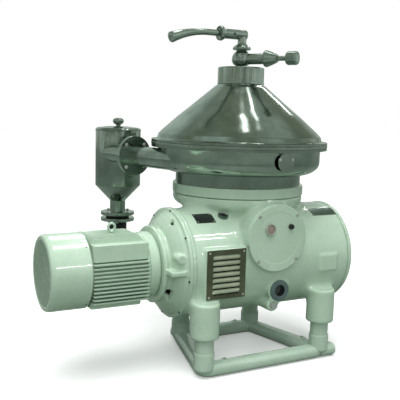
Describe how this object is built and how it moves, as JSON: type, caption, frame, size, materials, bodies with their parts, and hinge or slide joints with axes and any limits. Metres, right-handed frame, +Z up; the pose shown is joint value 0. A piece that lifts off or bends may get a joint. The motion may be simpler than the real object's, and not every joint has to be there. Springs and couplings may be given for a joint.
{
  "type": "disc-stack cream separator",
  "caption": "Motor-driven disc-bowl separator with a cast housing on tube legs, a conical hood, valves and a sludge cyclone.",
  "frame": {"origin": "centre of the bounding box's base, on the floor", "axes": "+Z up along the bowl spindle, -X towards the motor, -Y towards the gear cover and oil gauges"},
  "size_m": [1.477, 1.0904, 1.5831],
  "materials": {
    "paint": "semi-gloss mint green enamel on cast iron",
    "stainless": "polished stainless steel",
    "steel": "machined steel",
    "plate": "bright machined metal",
    "dark_glass": "clear glass with dark oil behind it",
    "black_plastic": "matt black",
    "rubber": "matt black",
    "iron": "dark bare metal",
    "brass": "cut bronze teeth",
    "copper": "varnished copper winding"
  },
  "bodies": {
    "machine_frame": {"main_housing": "paint", "end_cover": "paint", "stand_frame": "paint", "motor_lantern": "paint", "motor_stator_frame": "paint", "motor_end_shield": "paint", "motor_rear_shield": "paint", "fan_cover": "paint", "terminal_box": "paint", "gear_cover": "paint", "stator_core": "copper", "motor_front_bearing": "steel", "motor_rear_bearing": "steel", "drive_left_bearing": "steel", "drive_right_bearing": "steel", "foot_bearing": "steel", "neck_bearing": "steel", "lifting_eye": "steel", "oil_drain_plug": "steel", "sight_glass_bezel": "plate", "oil_level_ring": "plate", "right_blank_plate": "plate", "sight_glass": "dark_glass", "oil_level_glass": "dark_glass", "speed_probe": "black_plastic", "oil_filler_cap": "black_plastic", "left_blank_plate": "black_plastic", "drain_gasket": "rubber", "drain_sleeve": "rubber", "vent_grille": "iron", "sludge_catcher": "stainless", "rim_ring": "stainless", "cyclone_body": "stainless", "drain_flange": "stainless"},
    "spindle": {"bowl_spindle": "steel", "helical_pinion": "steel", "bowl_body": "stainless", "sliding_bowl_bottom": "stainless", "disc_stack": "stainless", "bowl_top": "stainless", "bowl_lock_ring": "stainless"},
    "drive_line": {"drive_shaft": "steel", "helical_wheel": "brass", "clutch_drum": "iron"},
    "rotor": {"motor_shaft": "steel", "rotor_core": "iron", "clutch_shoes": "iron", "cooling_fan": "black_plastic"},
    "hood": {"hood_cone": "stainless", "hood_cap": "stainless", "feed_tube_and_pump_disc": "stainless", "valve_ball_body": "stainless", "union_nut": "stainless", "valve_elbow": "stainless", "branch_block": "stainless", "branch_nut": "stainless"},
    "lever": {"valve_lever": "stainless"},
    "knob": {"regulating_knob": "stainless"},
    "lid": {"cyclone_lid": "stainless"},
    "flap": {"port_flap": "stainless"}
  },
  "joints": [
    {"name": "bowl_spin", "type": "hinge", "parent": "machine_frame", "child": "spindle", "pos_m": [0.2685, -0.11375, 0.482], "axis": [0, 0, 1], "continuous": true},
    {"name": "drive_shaft_spin", "type": "hinge", "parent": "machine_frame", "child": "drive_line", "pos_m": [0.2685, -0.21375, 0.482], "axis": [1, 0, 0], "continuous": true},
    {"name": "motor_spin", "type": "hinge", "parent": "machine_frame", "child": "rotor", "pos_m": [-0.0815, -0.21375, 0.482], "axis": [1, 0, 0], "continuous": true},
    {"name": "hood_lift", "type": "slide", "parent": "machine_frame", "child": "hood", "axis": [0, 0, 1], "range_m": [0, 0.3]},
    {"name": "valve_lever_turn", "type": "hinge", "parent": "hood", "child": "lever", "pos_m": [0.1627, -0.11375, 1.548], "axis": [1, 0, 0], "range_deg": [-90, 90]},
    {"name": "regulating_knob_turn", "type": "hinge", "parent": "hood", "child": "knob", "pos_m": [0.36615, -0.28288, 1.433], "axis": [0.5, -0.866, 0], "range_deg": [-720, 720]},
    {"name": "cyclone_lid_lift", "type": "slide", "parent": "machine_frame", "child": "lid", "axis": [0, 0, 1], "range_m": [0, 0.08]},
    {"name": "port_flap_swing", "type": "hinge", "parent": "machine_frame", "child": "flap", "pos_m": [0.3045, -0.51775, 0.975], "axis": [0, -1, 0], "range_deg": [0, 80]}
  ],
  "couplings": [
    {"joint": "drive_shaft_spin", "follows": "bowl_spin", "ratio": -0.22222},
    {"joint": "motor_spin", "follows": "bowl_spin", "ratio": -0.22222}
  ]
}
